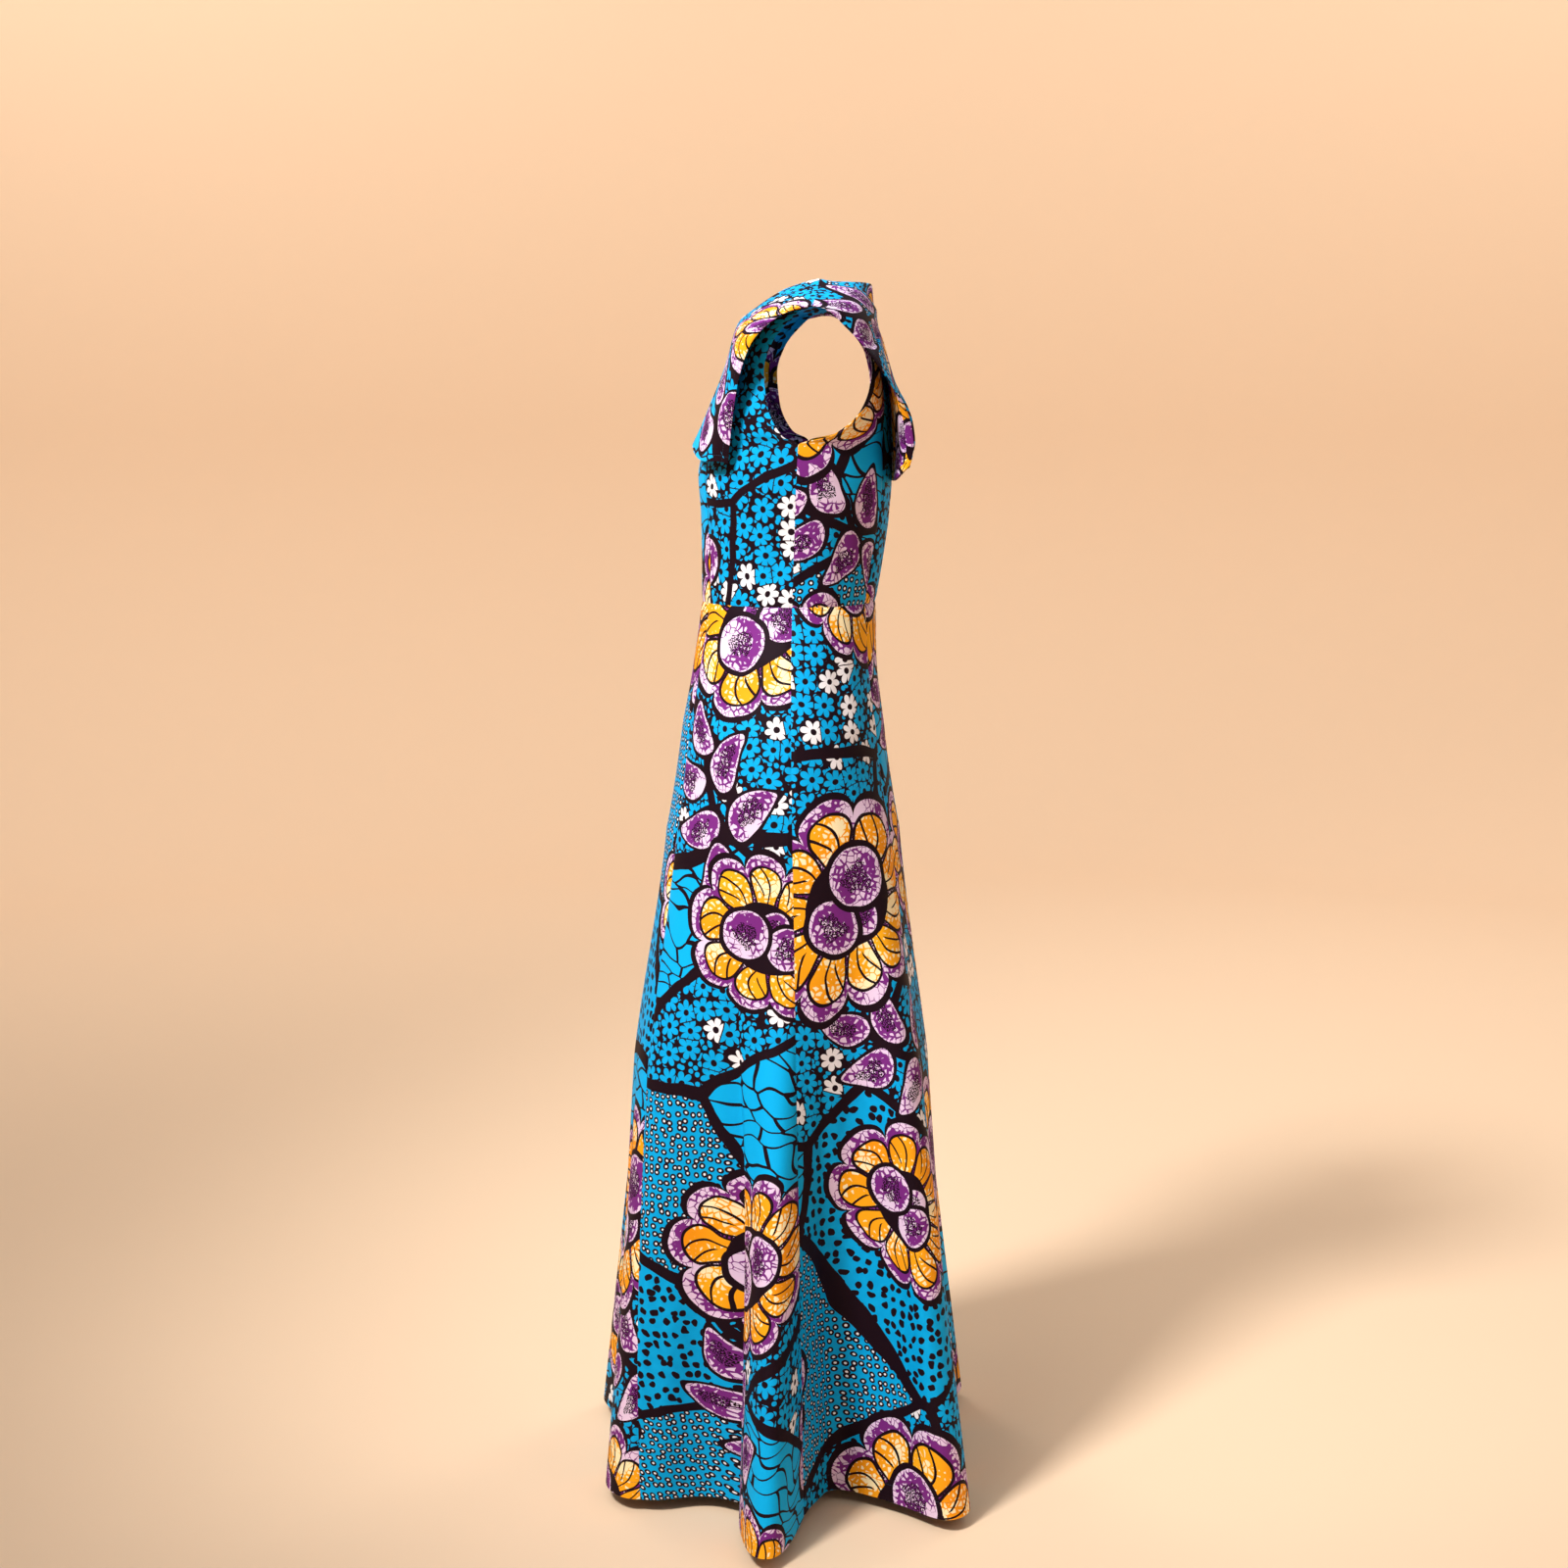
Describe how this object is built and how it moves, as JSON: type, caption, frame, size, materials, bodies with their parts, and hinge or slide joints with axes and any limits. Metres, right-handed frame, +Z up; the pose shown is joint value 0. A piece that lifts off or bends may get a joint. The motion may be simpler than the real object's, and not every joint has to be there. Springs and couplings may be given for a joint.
{
  "type": "ankara wax print dress",
  "caption": "Floor-length sleeveless cotton dress with a princess-seamed bodice, a cape collar over the shoulders and a flared panelled skirt, held in its worn, hollow form.",
  "frame": {"origin": "midway between the two points where the shoulder seams meet the neckline, where the wearer's shoulders hold the dress", "axes": "+Z up along the length of the dress, front faces -Y, the wearer's left is +X"},
  "size_m": [0.7452, 0.5099, 1.5485],
  "materials": {
    "bodice_print": "crisp wax-printed cotton with a slight sheen",
    "collar_print": "crisp wax-printed cotton with a slight sheen",
    "skirt_print": "crisp wax-printed cotton with a slight sheen"
  },
  "bodies": {
    "root": {"bodice_centre_front": "bodice_print", "bodice_side_front_L": "bodice_print", "bodice_side_front_R": "bodice_print", "bodice_side_back_L": "bodice_print", "bodice_side_back_R": "bodice_print", "bodice_centre_back_L": "bodice_print", "bodice_centre_back_R": "bodice_print", "collar_front": "collar_print", "collar_back_L": "collar_print", "collar_back_R": "collar_print", "skirt_centre_front": "skirt_print", "skirt_side_front_L": "skirt_print", "skirt_side_front_R": "skirt_print", "skirt_side_back_L": "skirt_print", "skirt_side_back_R": "skirt_print", "skirt_centre_back_L": "skirt_print", "skirt_centre_back_R": "skirt_print"}
  },
  "joints": []
}
